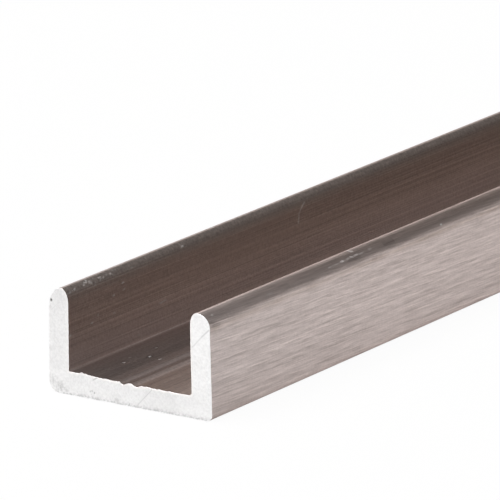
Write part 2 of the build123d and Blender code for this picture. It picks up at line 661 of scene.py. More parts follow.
def skin_masks(ring, outer_count, sizes, stations):
    """What the skin's look depends on, at each station's ring of points.

    Each mask is a sum of parts. A part is one share along the bar times one round the section.
    """
    at = ring_places(ring, outer_count, sizes)
    bar = bar_shares(stations, sizes)
    parts_of = {
        INSIDE: ((bar.even, at.inner * 1.0),),
        PAINTED_LIGHT_AND_SHADE: painted_light_and_shade_parts(at, bar),
        WARMTH: warmth_parts(at, bar),
        TIP_SOIL: soil_parts(at, bar),
        # Painted dark band on the right tip's outer bend, growing in away from a cut
        TIP_DARK_BAND: ((0.07 + bar.grown, at.right * looked_up(at.below_top, TIP_DARK_BANDS)),),
        SHOULDER_STAIN: stain_parts(at, bar),
        SETTLED_DUST: dust_parts(at, bar),
        SAW_HAZE: haze_parts(at, bar),
    }
    return {
        name: sum(np.outer(along, around) for along, around in parts).ravel()
        for name, parts in parts_of.items()
    }


# The mesh


def grid_faces(rows, columns, closed=False):
    """Quads between neighbouring points of a grid, numbered row by row.

    A closed grid joins its last column to its first.
    """
    row = np.arange(rows - 1)[:, None] * columns
    column = np.arange(columns if closed else columns - 1)
    after = (column + 1) % columns
    corners = np.stack([row + column, row + after, row + columns + after, row + columns + column], -1)
    return corners.reshape(-1, 4)


# How many points a sawn end has from its outer edge to its inner one
CAP_COLUMNS = 30
# A pit's width, in widths of a scratch
PIT_WIDTH = 1.3
# Share of the wall, beside each edge, over which a mark's depth fades to nothing
RIM_SHARE = 0.06


def cap_grid(side_ring, outer_count, outward_sign, ends, scratches, pits):
    """A grid over a sawn end: point (k, t) lies t of the way from outer point k to inner point k.

    The grid is pressed in along its scratches and pits, and not at its rim.
    """
    outer = side_ring[:outer_count]
    first, last = side_ring[:1], side_ring[outer_count - 1 : outer_count]
    inner = np.vstack([first, side_ring[outer_count:][::-1], last])
    t = np.linspace(0.0, 1.0, CAP_COLUMNS)
    flat = (outer[:, None] * (1 - t[:, None]) + inner[:, None] * t[:, None]).reshape(-1, 3)
    plane = flat[:, (0, 2)]
    marks = np.maximum(
        scratch_mask(plane, scratches, ends.scratch_width),
        scratch_mask(plane, pits, PIT_WIDTH * ends.scratch_width),
    )
    from_rim = np.tile(np.minimum(t, 1 - t), outer_count)
    flat[:, 1] -= outward_sign * ends.scratch_depth * marks * np.clip(from_rim / RIM_SHARE, 0.0, 1.0)
    wall = np.linalg.norm(outer - inner, axis=1)
    # Painted highlight along the inner edge
    edge = np.exp(-((wall[:, None] * (1 - t) / ends.edge_highlight) ** 2)).ravel()
    return flat, marks, edge


def make_mesh(sizes, ends):
    """The bar as one closed mesh, with a grain map and the masks of its skin's soil, stain, dust, haze,
    warmth and painted light and shade, and the saw's marks, painted shade and painted highlight on its ends.
    """
    side, ring, outer_count, stations = bar_sides(sizes, ends)
    rows, around = side.shape[:2]
    skin = rows * around
    side_faces = grid_faces(rows, around, closed=True)
    rim_row = np.isin(np.arange(len(side_faces)) // around, (0, rows - 2))
    points, faces, materials = [side.reshape(-1, 3)], [side_faces], [rim_row.astype(np.int32)]
    cut_masks = {CUT_MARKS: [], CUT_SHADE: [], CUT_EDGE_HIGHLIGHT: [], CUT_DULL_AND_SHADE: []}
    for station, sign, scratches, pits, shade_spots in ENDS:
        cap, marks, edge = cap_grid(side[station], outer_count, sign, ends, scratches, pits)
        cap_faces = grid_faces(outer_count, CAP_COLUMNS)
        faces.append((cap_faces if sign < 0 else cap_faces[:, ::-1]) + sum(map(len, points)))
        points.append(cap)
        materials.append(np.ones(len(cap_faces), np.int32))
        plane = cap[:, (0, 2)]
        for key, mask in zip(cut_masks, (marks, bottom_shade_mask(plane, shade_spots), edge, dull_and_shade_mask(plane))):
            cut_masks[key].append(mask)
    points, faces = np.vstack(points), np.vstack(faces)
    skin_only = skin_masks(ring, outer_count, sizes, stations)
    masks = {key: np.r_[mask, np.zeros(len(points) - skin)] for key, mask in skin_only.items()}
    masks |= {key: np.r_[np.zeros(skin), np.concatenate(mask)] for key, mask in cut_masks.items()}
    mesh = bpy.data.meshes.new(BAR)
    mesh.from_pydata(points, [], faces)
    mesh.polygons.foreach_set("material_index", np.concatenate(materials))
    for key, mask in masks.items():
        mesh.attributes.new(key, "FLOAT", "POINT").data.foreach_set("value", mask.astype(np.float32))
    add_grain_map(mesh, faces, points, ring, side, outer_count)
    return mesh


# How far the outer faces' brush lines lean: metres round the section for each metre along the bar
GRAIN_LEAN = 0.035


def add_grain_map(mesh, faces, points, ring, side, outer_count):
    """UV map in metres: U is the length round the section and V is Y. The ends use X and Z.

    On the outer faces U grows with V too, by the grain's lean.
    """
    stations, around = side.shape[:2]
    skin = (stations - 1) * around
    along = np.r_[distance_along(ring), 0.0]
    along[-1] = along[-2] + np.linalg.norm(ring[-1] - ring[0])
    corner = faces[:skin].ravel()
    column = corner % around
    seam = np.tile(np.array([False, True, True, False]), skin) & (column == 0)
    v = points[corner, 1]
    outer_face = np.repeat(faces[:skin, 0] % around < outer_count, 4)
    u = np.where(seam, along[-1], along[column]) + np.where(outer_face, GRAIN_LEAN * v, 0.0)
    cap = points[faces[skin:].ravel()]
    uv = np.vstack([np.c_[u, v], cap[:, (0, 2)]])
    layer = mesh.uv_layers.new(name=GRAIN_MAP)
    layer.data.foreach_set("uv", uv.astype(np.float32).ravel())


# Points nearer than this are one, and edges sharper than this stay crisp
JOIN_DISTANCE = 1e-7
SHARP_ANGLE = math.radians(28)


def join_mesh(mesh):
    """Joins the sides to the ends, points every face outwards and keeps the cut edge crisp."""
    work = bmesh.new()
    work.from_mesh(mesh)
    bmesh.ops.remove_doubles(work, verts=work.verts, dist=JOIN_DISTANCE)
    bmesh.ops.recalc_face_normals(work, faces=work.faces)
    loose = sum(not edge.is_manifold for edge in work.edges)
    if loose:
        raise RuntimeError(f"the bar's surface is open at {loose} edges")
    if work.calc_volume(signed=True) < 0:
        bmesh.ops.reverse_faces(work, faces=work.faces)
    work.to_mesh(mesh)
    work.free()
    mesh.shade_smooth()
    mesh.set_sharp_from_angle(angle=SHARP_ANGLE)


# Materials


def node(tree, kind, inputs=None, **settings):
    """A node of that kind, with its settings and the values of its inputs."""
    made = tree.nodes.new(kind)
    for name, value in settings.items():
        setattr(made, name, value)
    for name, value in (inputs or {}).items():
        feed(tree, value, made.inputs[name])
    return made


def feed(tree, value, socket):
    """Gives a socket a value, or links it to another socket. A colour gets its alpha."""
    if isinstance(value, bpy.types.NodeSocket):
        tree.links.new(value, socket)
    elif socket.type == "RGBA":
        socket.default_value = (*value[:3], 1.0)
    else:
        socket.default_value = value


def new_group(name, inputs, outputs):
    """An empty shader node group with those sockets: each input has a name, a kind and a default."""
    group = bpy.data.node_groups.new(name, "ShaderNodeTree")
    for label, kind, default in inputs:
        socket = group.interface.new_socket(label, in_out="INPUT", socket_type=kind)
        if default is not None:
            socket.default_value = default
    for label in outputs:
        group.interface.new_socket(label, in_out="OUTPUT", socket_type="NodeSocketFloat")
    return group, group.nodes.new("NodeGroupInput").outputs, group.nodes.new("NodeGroupOutput").inputs


def placed(tree, group, **values):
    """A node group in a material, with its own values. Returns its outputs."""
    return node(tree, "ShaderNodeGroup", values, node_tree=group).outputs


def maths(tree, operation, first, second=0.0, clamp=False):
    """first and second put together by a Math node."""
    made = node(tree, "ShaderNodeMath", operation=operation, use_clamp=clamp)
    feed(tree, first, made.inputs[0])
    feed(tree, second, made.inputs[1])
    return made.outputs["Value"]


def vector_maths(tree, operation, first, second, output="Vector"):
    """first and second put together by a Vector Math node."""
    made = node(tree, "ShaderNodeVectorMath", operation=operation)
    feed(tree, first, made.inputs[0])
    feed(tree, second, made.inputs[1])
    return made.outputs[output]


def remap(tree, value, low, high, to_low=0.0, to_high=1.0):
    """value carried from one range to another, held within it."""
    values = {"Value": value, "From Min": low, "From Max": high, "To Min": to_low, "To Max": to_high}
    return node(tree, "ShaderNodeMapRange", values).outputs["Result"]


# A Mix node's first and second input and its output, by the kind of value
MIX_SOCKETS = {"FLOAT": (2, 3, 0), "RGBA": (6, 7, 2)}


def mixed(tree, kind, factor, first, second, way="MIX"):
    """first and second put together by a Mix node, as far as factor says."""
    first_input, second_input, result = MIX_SOCKETS[kind]
    made = node(tree, "ShaderNodeMix", data_type=kind, blend_type=way)
    feed(tree, factor, made.inputs[0])
    feed(tree, first, made.inputs[first_input])
    feed(tree, second, made.inputs[second_input])
    return made.outputs[result]


def blend_values(tree, factor, first, second):
    """A value between first and second."""
    return mixed(tree, "FLOAT", factor, first, second)


def blend_colours(tree, factor, first, second):
    """A colour between first and second."""
    return mixed(tree, "RGBA", factor, first, second)


def tinted(tree, factor, colour, tint):
    """The colour multiplied by a tint, as far as factor says."""
    return mixed(tree, "RGBA", factor, colour, tint, way="MULTIPLY")


def noise(tree, vector, scale, detail):
    """Soft noise about 0.5, with that many patches to the metre."""
    values = {"Vector": vector, "Scale": scale, "Detail": detail}
    return node(tree, "ShaderNodeTexNoise", values).outputs["Fac"]


def split(tree, vector):
    """The X, Y and Z of a vector, as outputs."""
    return node(tree, "ShaderNodeSeparateXYZ", {"Vector": vector}).outputs


def joined(tree, **parts):
    """A vector put together from its X, Y or Z."""
    return node(tree, "ShaderNodeCombineXYZ", parts).outputs["Vector"]


def attribute(tree, name):
    """The value of one of the mesh's own masks."""
    return node(tree, "ShaderNodeAttribute", attribute_name=name).outputs["Fac"]


def brush_lines_group():
    """Long fine lines from 0 to 1: noise on a vector divided by the lines' width and length."""
    inputs = (
        ("Vector", "NodeSocketVector", None),
        ("Width", "NodeSocketFloat", 0.0003),
        ("Length", "NodeSocketFloat", 0.02),
        ("Layer", "NodeSocketFloat", 0.0),
        ("Contrast", "NodeSocketFloat", 2.0),
    )
    group, entry, leave = new_group("brush_lines", inputs, ("Lines",))
    size = joined(group, X=entry["Width"], Y=entry["Length"], Z=1.0)
    scaled = vector_maths(group, "DIVIDE", entry["Vector"], size)
    values = {"Vector": scaled, "W": entry["Layer"], "Scale": 1.0, "Detail": 2.0, "Roughness": 0.6}
    lines = node(group, "ShaderNodeTexNoise", values, noise_dimensions="4D").outputs["Fac"]
    centred = maths(group, "MULTIPLY", maths(group, "SUBTRACT", lines, 0.5), entry["Contrast"])
    feed(group, maths(group, "ADD", centred, 0.5, clamp=True), leave["Lines"])
    return group


def specks_group():
    """Scattered round specks from 0 to 1: the middles of flat random cells, each with its size and chance."""
    inputs = (
        ("Vector", "NodeSocketVector", None),
        ("Spacing", "NodeSocketFloat", 0.001),
        ("Radius", "NodeSocketFloat", 0.0001),
        ("Amount", "NodeSocketFloat", 0.2),
    )
    group, entry, leave = new_group("specks", inputs, ("Specks",))
    cells = vector_maths(group, "DIVIDE", entry["Vector"], entry["Spacing"])
    voronoi = node(group, "ShaderNodeTexVoronoi", {"Vector": cells, "Scale": 1.0}, voronoi_dimensions="2D")
    chance = node(group, "ShaderNodeSeparateColor", {"Color": voronoi.outputs["Color"]}).outputs
    distance = maths(group, "MULTIPLY", voronoi.outputs["Distance"], entry["Spacing"])
    radius = maths(group, "MULTIPLY", entry["Radius"], maths(group, "ADD", chance["Green"], 0.5))
    dot = remap(group, distance, radius, maths(group, "MULTIPLY", radius, 0.4))
    kept = maths(group, "LESS_THAN", chance["Red"], entry["Amount"])
    feed(group, maths(group, "MULTIPLY", dot, kept), leave["Specks"])
    return group


# Share of a mark's width over which it fades to nothing at its edge
MARK_FADE = 0.6


def short_mark_group():
    """A short mark along a run from a start, over the marks before it: the larger of the two.

    Its width is measured from the run to the mark's edge. Over the outer share of that it fades evenly.
    """
    inputs = (
        ("Vector", "NodeSocketVector", None),
        ("Start", "NodeSocketVector", None),
        ("Run", "NodeSocketVector", None),
        ("Width", "NodeSocketFloat", 0.0001),
        ("Strength", "NodeSocketFloat", 1.0),
        ("Before", "NodeSocketFloat", 0.0),
    )
    group, entry, leave = new_group("short_mark", inputs, ("Marks",))
    away = vector_maths(group, "SUBTRACT", entry["Vector"], entry["Start"])
    along = vector_maths(group, "DOT_PRODUCT", away, entry["Run"], "Value")
    length = vector_maths(group, "DOT_PRODUCT", entry["Run"], entry["Run"], "Value")
    share = maths(group, "MINIMUM", maths(group, "MAXIMUM", maths(group, "DIVIDE", along, length), 0.0), 1.0)
    foot = node(group, "ShaderNodeVectorMath", operation="SCALE")
    feed(group, entry["Run"], foot.inputs[0])
    feed(group, share, foot.inputs["Scale"])
    distance = vector_maths(group, "DISTANCE", away, foot.outputs["Vector"], "Value")
    inwards = maths(group, "SUBTRACT", 1.0, maths(group, "DIVIDE", distance, entry["Width"]))
    core = maths(group, "MINIMUM", maths(group, "DIVIDE", inwards, MARK_FADE), 1.0)
    mark = maths(group, "MULTIPLY", core, entry["Strength"])
    feed(group, maths(group, "MAXIMUM", mark, entry["Before"]), leave["Marks"])
    return group


def new_material(name):
    """A material with a lone Principled shader."""
    material = bpy.data.materials.new(name)
    material.use_nodes = True
    tree = material.node_tree
    return material, tree, tree.nodes["Principled BSDF"].inputs


# Marks on the skin


# Specks and nicks on the skin, and a few painted highlight lines, in millimetres: two ends, a width and a
# strength.
# Those on the floor are given by X and Y, and those on the walls and outside by Y and Z.
FLOOR_LIGHT_MARKS = (
    ((-4.8, -141.4), (-4.8, -141.05), 0.19, 0.8),
    ((-6.03, -145.35), (-6.0, -145.1), 0.2, 0.72),
    ((-6.29, -137.8), (-6.25, -137.55), 0.18, 0.6),
    ((-3.09, -141.5), (-3.06, -141.25), 0.2, 0.55),
    ((-6.59, -143.3), (-6.55, -143.05), 0.18, 0.4),
    ((-5.86, -148.9), (-5.84, -148.65), 0.18, 0.3),
    # Painted highlights: bright dots and a faint line along the right groove's rising flank
    ((1.31, -143.6), (1.33, -142.9), 0.14, 0.85),
    ((1.31, -149.2), (1.35, -148.7), 0.14, 0.85),
    ((1.33, -151.2), (1.33, -141.5), 0.08, 0.15),
)
FLOOR_DARK_MARKS = (
    ((-4.8, -141.6), (-4.8, -140.9), 0.5, 0.4),
    ((-6.29, -137.9), (-6.25, -137.4), 0.45, 0.4),
    ((-6.03, -145.4), (-6.0, -145.0), 0.4, 0.3),
)
WALL_LIGHT_MARKS = (
    ((-147.35, 8.26), (-147.1, 8.3), 0.2, 0.7),
    ((-152.1, 7.74), (-151.9, 7.78), 0.18, 0.9),
    ((-146.1, 9.0), (-145.8, 9.05), 0.17, 0.45),
    ((-142.55, 10.76), (-142.3, 10.8), 0.2, 0.68),
    ((-142.5, 8.4), (-142.2, 8.4), 0.17, 0.5),
    ((-140.5, 11.95), (-140.2, 12.0), 0.2, 0.68),
    ((-140.3, 11.03), (-140.0, 11.07), 0.19, 0.52),
    ((-137.1, 4.05), (-136.8, 4.1), 0.16, 0.55),
    ((-132.2, 7.18), (-130.75, 7.28), 0.13, 0.7),
    ((-126.7, 13.5), (-126.3, 13.5), 0.18, 0.6),
    ((-98.3, 12.9), (-99.3, 12.2), 0.17, 0.45),
    ((-99.3, 12.2), (-99.7, 11.6), 0.17, 0.5),
    ((-99.7, 11.6), (-99.85, 10.4), 0.2, 0.6),
    ((-151.7, 13.35), (-151.4, 13.38), 0.15, 0.4),
    ((-150.6, 13.5), (-150.3, 13.53), 0.16, 0.5),
    ((-148.5, 13.55), (-148.25, 13.62), 0.15, 0.5),
    ((-148.15, 13.78), (-148.0, 13.8), 0.12, 0.5),
    ((-147.8, 13.7), (-147.4, 13.93), 0.13, 0.6),
    ((-147.2, 13.6), (-146.9, 13.66), 0.22, 0.4),
    ((-146.95, 13.45), (-146.75, 13.5), 0.18, 0.4),
    ((-146.3, 13.08), (-146.1, 13.1), 0.14, 0.3),
    ((-145.1, 13.68), (-144.6, 13.7), 0.13, 0.5),
    ((-144.8, 13.5), (-144.6, 13.55), 0.12, 0.5),
    ((-144.2, 13.5), (-144.0, 13.58), 0.14, 0.45),
    ((-143.4, 13.66), (-143.2, 13.7), 0.14, 0.35),
    ((-142.6, 13.62), (-142.3, 13.65), 0.16, 0.4),
    ((-138.1, 13.36), (-137.8, 13.38), 0.16, 0.3),
)
SHOULDER_LIGHT_MARKS = (
    ((-151.0, 13.55), (-150.7, 13.6), 0.15, 0.4),
    ((-138.9, 13.35), (-138.0, 13.35), 0.1, 0.25),
    ((-124.8, 13.44), (-116.2, 13.57), 0.08, 0.2),
    ((-124.7, 13.45), (-124.2, 13.45), 0.11, 0.35),
    ((-123.3, 13.46), (-122.6, 13.45), 0.1, 0.3),
    ((-121.7, 13.5), (-121.1, 13.5), 0.14, 0.6),
    ((-120.3, 13.5), (-119.8, 13.56), 0.12, 0.4),
    ((-119.4, 13.6), (-118.9, 13.5), 0.13, 0.55),
    ((-118.5, 13.55), (-117.7, 13.57), 0.12, 0.5),
    ((-117.4, 13.5), (-116.6, 13.53), 0.1, 0.35),
    ((-115.1, 13.58), (-114.5, 13.58), 0.15, 0.25),
    ((-118.4, 13.98), (-117.9, 13.9), 0.1, 0.5),
    ((-98.4, 13.08), (-98.25, 13.08), 0.17, 0.9),
    # Painted highlight along the right outer face, just behind the cut
    ((-152.2, 12.3), (-152.2, 11.1), 0.07, 0.5),
)
SHOULDER_DARK_MARKS = (
    ((-151.9, 12.7), (-150.4, 12.3), 0.5, 0.3),
    ((-152.4, 13.45), (-134.0, 13.45), 0.3, 0.13),
    ((-120.2, 13.3), (-117.5, 13.28), 0.14, 0.25),
    ((-111.6, 13.5), (-109.4, 13.48), 0.3, 0.3),
    ((-115.2, 12.3), (-114.3, 12.3), 0.3, 0.2),
    ((-117.4, 11.75), (-116.3, 11.7), 0.08, 0.25),
)


# The floor's marks show on inner faces below this height
FLOOR_TOP = 3.25 * MM


def floor_point(across, along):
    """A mark's place on the floor, seen from above."""
    return across, along, 0.0


def side_point(along, height):
    """A mark's place on a wall, seen from the side."""
    return 0.0, along, height


def marks_of(tree, short_mark, view, table, lift):
    """All the marks of a table in that view. lift turns a mark's two numbers into a point of the view."""
    marks = 0.0
    for start, end, width, strength in table:
        start, end = Vector(lift(*start)) * MM, Vector(lift(*end)) * MM
        mark = {"Start": start, "Run": end - start, "Width": width * MM, "Strength": strength}
        marks = placed(tree, short_mark, Vector=view, Before=marks, **mark)["Marks"]
    return marks


def stray_marks(tree, short_mark, place, inside):
    """The light and the dark marks on the skin, inside the channel and outside it."""
    flat = vector_maths(tree, "MULTIPLY", place, (1.0, 1.0, 0.0))
    upright = vector_maths(tree, "MULTIPLY", place, (0.0, 1.0, 1.0))
    on_floor = maths(tree, "MULTIPLY", inside, maths(tree, "LESS_THAN", split(tree, place)["Z"], FLOOR_TOP))
    on_wall = maths(tree, "SUBTRACT", inside, on_floor)
    outside = maths(tree, "SUBTRACT", 1.0, inside)

    def marks_there(tables):
        marks = 0.0
        for view, table, where, lift in tables:
            found = maths(tree, "MULTIPLY", marks_of(tree, short_mark, view, table, lift), where)
            marks = maths(tree, "MAXIMUM", marks, found)
        return marks

    light = marks_there((
        (flat, FLOOR_LIGHT_MARKS, on_floor, floor_point),
        (upright, WALL_LIGHT_MARKS, on_wall, side_point),
        (upright, SHOULDER_LIGHT_MARKS, outside, side_point),
    ))
    dark = marks_there((
        (flat, FLOOR_DARK_MARKS, on_floor, floor_point),
        (upright, SHOULDER_DARK_MARKS, outside, side_point),
    ))
    return light, dark


# The two finishes


# Layers of brush lines: the width and the length of a line, the layer's own pattern and its contrast
FINE_LINES = {"Width": 0.19 * MM, "Length": 4 * MM, "Layer": 1.0, "Contrast": 3.2}
MIDDLING_LINES = {"Width": 0.4 * MM, "Length": 13 * MM, "Layer": 5.0, "Contrast": 3.0}
LONG_LINES = {"Width": 0.75 * MM, "Length": 80 * MM, "Layer": 9.0, "Contrast": 2.8}
SAW_LINES = {"Width": 0.16 * MM, "Length": 1.6 * MM, "Layer": 2.0, "Contrast": 2.4}
# How far the saw's lines are turned
SAW_SLANT = math.radians(45)
# The middling layer's share over the fine one, and the long one's over both
MIDDLING_SHARE = 0.45
LONG_SHARE = 0.28
# Lines inside the channel are drawn at this share of their distance along the bar, which makes them longer
INSIDE_STRETCH = 0.1
# The mottle's share over the lines, outside the channel and inside
MOTTLE_SHARES = (0.12, 0.26)
# Specks in the soil on a tip, the haze where they change, and their strengths beyond it and by the cut
SOIL_SPECKS = {"Spacing": 0.7 * MM, "Radius": 0.15 * MM, "Amount": 0.5}
SPECK_HAZES = (0.15, 0.19)
SPECK_STRENGTHS = (0.15, 0.6)
# Noise patches to the metre, and the noise that counts as 0 and as 1
SKIN_MOTTLE = 2600.0
SKIN_MOTTLE_RANGE = (0.3, 0.7)
STAIN_PATCHES = 260.0
STAIN_PATCH_RANGE = (0.36, 0.6)
CUT_MOTTLE = 3200.0
SPECKLE_RANGE = (0.35, 0.7)
CUT_SHADE_RANGE = (0.35, 0.6)
CUT_PATCHES = 500.0
CLOUD_RANGE = (0.45, 0.75)
# Strengths of the painted dark band and of dust where the mottle is 0 and 1, and of the stain where its
# patches are
DARK_BAND_STRENGTHS = (0.75, 1.1)
DUST_STRENGTHS = (0.03, 0.08)
STAIN_STRENGTHS = (0.6, 1.05)
# How far haze and soil cover the skin, how far mottle shows in the soil, and what soil adds to the roughness
HAZE_COVER = 0.1
SOIL_COVER = 0.6
SOIL_MOTTLE = 0.4
SOIL_ROUGHNESS = 0.13
# How far a light mark stands out, as a share of a brush line
MARK_RELIEF = 0.3
# How much speckle, saw strokes and clouds dull a sawn end, how far its painted shade darkens it, and the
# least of that shade in its mottle
SPECKLE_DULLS = 0.2
STROKE_DULLS = 0.11
CLOUD_DULLS = 0.1
CUT_SHADE_STRENGTH = 0.7
CUT_SHADE_LEAST = 0.3
# How clean of that the painted highlight along the inner edge is, and how far it takes its tint
EDGE_CLEAN = 0.9
EDGE_TINTED = 0.7
# Strengths of a mark on a sawn end where it starts to turn as dark as a pit, and where it is
PIT_STRENGTHS = (1.0, 3.0)
# Depth of a sawn end's relief, as a share of the brush lines'
CUT_RELIEF = 0.4
# How far a surface's roughness goes above and below its middle value
SKIN_ROUGHNESS_SPREAD = 0.04
CUT_ROUGHNESS_SPREAD = 0.08


def skin_lines(tree, groups, uv, inside, mottle):
    """Three layers of brush lines from 0 to 1, fine, middling and long, with a little mottle over them.

    The long ones run straight along the bar, without the lean. Inside the channel all are ten times as long.
    """
    parts = split(tree, uv)
    far_along = maths(tree, "MULTIPLY", parts["Y"], blend_values(tree, inside, 1.0, INSIDE_STRETCH))
    leaned_by = maths(tree, "MULTIPLY", parts["Y"], blend_values(tree, inside, GRAIN_LEAN, 0.0))
    grain = joined(tree, X=parts["X"], Y=far_along)
    level_grain = joined(tree, X=maths(tree, "SUBTRACT", parts["X"], leaned_by), Y=far_along)
    brush = groups["brush_lines"]
    fine = placed(tree, brush, Vector=grain, **FINE_LINES)["Lines"]
    middling = placed(tree, brush, Vector=grain, **MIDDLING_LINES)["Lines"]
    long = placed(tree, brush, Vector=level_grain, **LONG_LINES)["Lines"]
    layers = blend_values(tree, LONG_SHARE, blend_values(tree, MIDDLING_SHARE, fine, middling), long)
    return blend_values(tree, blend_values(tree, inside, *MOTTLE_SHARES), layers, mottle)


def soil_specks(tree, groups, uv, soil, haze):
    """Light specks in the soil, from 0 to 1: bright by a cut, and faint beyond its haze."""
    by_cut = remap(tree, haze, *SPECK_HAZES, *SPECK_STRENGTHS)
    specks = placed(tree, groups["specks"], Vector=uv, **SOIL_SPECKS)["Specks"]
    return maths(tree, "MULTIPLY", specks, maths(tree, "MULTIPLY", soil, by_cut))


def skin_tone(tree, finish, place, lines, mottle, soil):
    """The skin's colour under its marks and dust: brush lines, then painted light and shade, warmth, a
    painted dark band, stain and soil.
    """
    dark_band = maths(tree, "MULTIPLY", attribute(tree, TIP_DARK_BAND), blend_values(tree, mottle, *DARK_BAND_STRENGTHS))
    patches = remap(tree, noise(tree, place, STAIN_PATCHES, 3.0), *STAIN_PATCH_RANGE)
    patchy = blend_values(tree, patches, *STAIN_STRENGTHS)
    stain = maths(tree, "MULTIPLY", attribute(tree, SHOULDER_STAIN), patchy)
    tone = blend_colours(tree, lines, finish.nickel, finish.nickel_worn)
    # Painted light and shade
    tone = tinted(tree, 1.0, tone, attribute(tree, PAINTED_LIGHT_AND_SHADE))
    tone = tinted(tree, attribute(tree, WARMTH), tone, finish.warm_tint)
    # Painted dark band on the right tip's outer bend, mottled
    tone = tinted(tree, dark_band, tone, finish.dark_band_tint)
    tone = tinted(tree, stain, tone, finish.stain_tint)
    soiled = tinted(tree, SOIL_MOTTLE, finish.soiled, mottle)
    return blend_colours(tree, maths(tree, "MULTIPLY", soil, SOIL_COVER), tone, soiled)


def add_relief(tree, shader, distance, height):
    """Bumps on the surface: height times distance."""
    bump = node(tree, "ShaderNodeBump", {"Strength": 1.0, "Distance": distance, "Height": height})
    feed(tree, bump.outputs["Normal"], shader["Normal"])


def nickel_material(groups, finish):
    """Brushed skin, anodised a warm nickel, with lines along the bar.

    Soil lies over the left leg's tip, the right one's outer bend has a mottled painted dark band, and a brown
    stain lies below that. There is dust in the channel, and haze by the cuts. Painted light and shade lie
    over the whole skin.
    """
    material, tree, shader = new_material("nickel_anodised")
    shader["Anisotropic"].default_value = finish.anisotropy
    feed(tree, finish.gloss_tint, shader["Specular Tint"])
    place = node(tree, "ShaderNodeTexCoord").outputs["Object"]
    uv = node(tree, "ShaderNodeUVMap", uv_map=GRAIN_MAP).outputs["UV"]
    inside, soil, haze = attribute(tree, INSIDE), attribute(tree, TIP_SOIL), attribute(tree, SAW_HAZE)
    mottle = remap(tree, noise(tree, place, SKIN_MOTTLE, 3.0), *SKIN_MOTTLE_RANGE)
    lines = skin_lines(tree, groups, uv, inside, mottle)
    light, dark = stray_marks(tree, groups["short_mark"], place, inside)
    light = maths(tree, "MAXIMUM", light, soil_specks(tree, groups, uv, soil, haze))
    dusty = blend_values(tree, mottle, *DUST_STRENGTHS)
    settled = maths(tree, "MULTIPLY", attribute(tree, SETTLED_DUST), dusty)
    dust = maths(tree, "ADD", settled, maths(tree, "MULTIPLY", haze, HAZE_COVER))
    tone = tinted(tree, dark, skin_tone(tree, finish, place, lines, mottle, soil), finish.dark_mark)
    tone = blend_colours(tree, dust, tone, finish.dust)
    feed(tree, blend_colours(tree, light, tone, finish.light_mark), shader["Base Color"])
    feed(tree, maths(tree, "SUBTRACT", 1.0, maths(tree, "MAXIMUM", dust, light)), shader["Metallic"])
    middle, spread = finish.nickel_roughness, SKIN_ROUGHNESS_SPREAD
    rough = remap(tree, lines, 0.0, 1.0, middle + spread, middle - spread)
    feed(tree, maths(tree, "ADD", rough, maths(tree, "MULTIPLY", soil, SOIL_ROUGHNESS)), shader["Roughness"])
    height = maths(tree, "ADD", lines, maths(tree, "MULTIPLY", light, MARK_RELIEF))
    add_relief(tree, shader, finish.line_depth, height)
    tangent = node(tree, "ShaderNodeTangent", direction_type="UV_MAP", uv_map=GRAIN_MAP)
    feed(tree, tangent.outputs["Tangent"], shader["Tangent"])
    return material


def cut_dullness_and_shade(tree, place, mottle, strokes, edge):
    """How dull and shaded a sawn end is, from 0 to 1: the sum of speckle, saw strokes, clouds, its mask of
    dullness and painted shade, and the painted shade along its bottom.

    Along the painted highlight of its inner edge nearly nothing of it is left.
    """
    mottled = remap(tree, mottle, *CUT_SHADE_RANGE, CUT_SHADE_LEAST, 1.0)
    # Painted shade along the bottom, mottled
    bottom_shade = maths(tree, "MULTIPLY", attribute(tree, CUT_SHADE), mottled)
    speckle = maths(tree, "MULTIPLY", remap(tree, mottle, *SPECKLE_RANGE), SPECKLE_DULLS)
    fine = maths(tree, "ADD", speckle, maths(tree, "MULTIPLY", strokes, STROKE_DULLS))
    clouds = remap(tree, noise(tree, place, CUT_PATCHES, 4.0), *CLOUD_RANGE, 0.0, CLOUD_DULLS)
    dull_and_shade = maths(tree, "ADD", fine, maths(tree, "ADD", clouds, attribute(tree, CUT_DULL_AND_SHADE)))
    dull_and_shade = maths(tree, "ADD", dull_and_shade, maths(tree, "MULTIPLY", bottom_shade, CUT_SHADE_STRENGTH), clamp=True)
    clean = maths(tree, "MULTIPLY", edge, EDGE_CLEAN)
    return maths(tree, "MULTIPLY", dull_and_shade, maths(tree, "SUBTRACT", 1.0, clean))


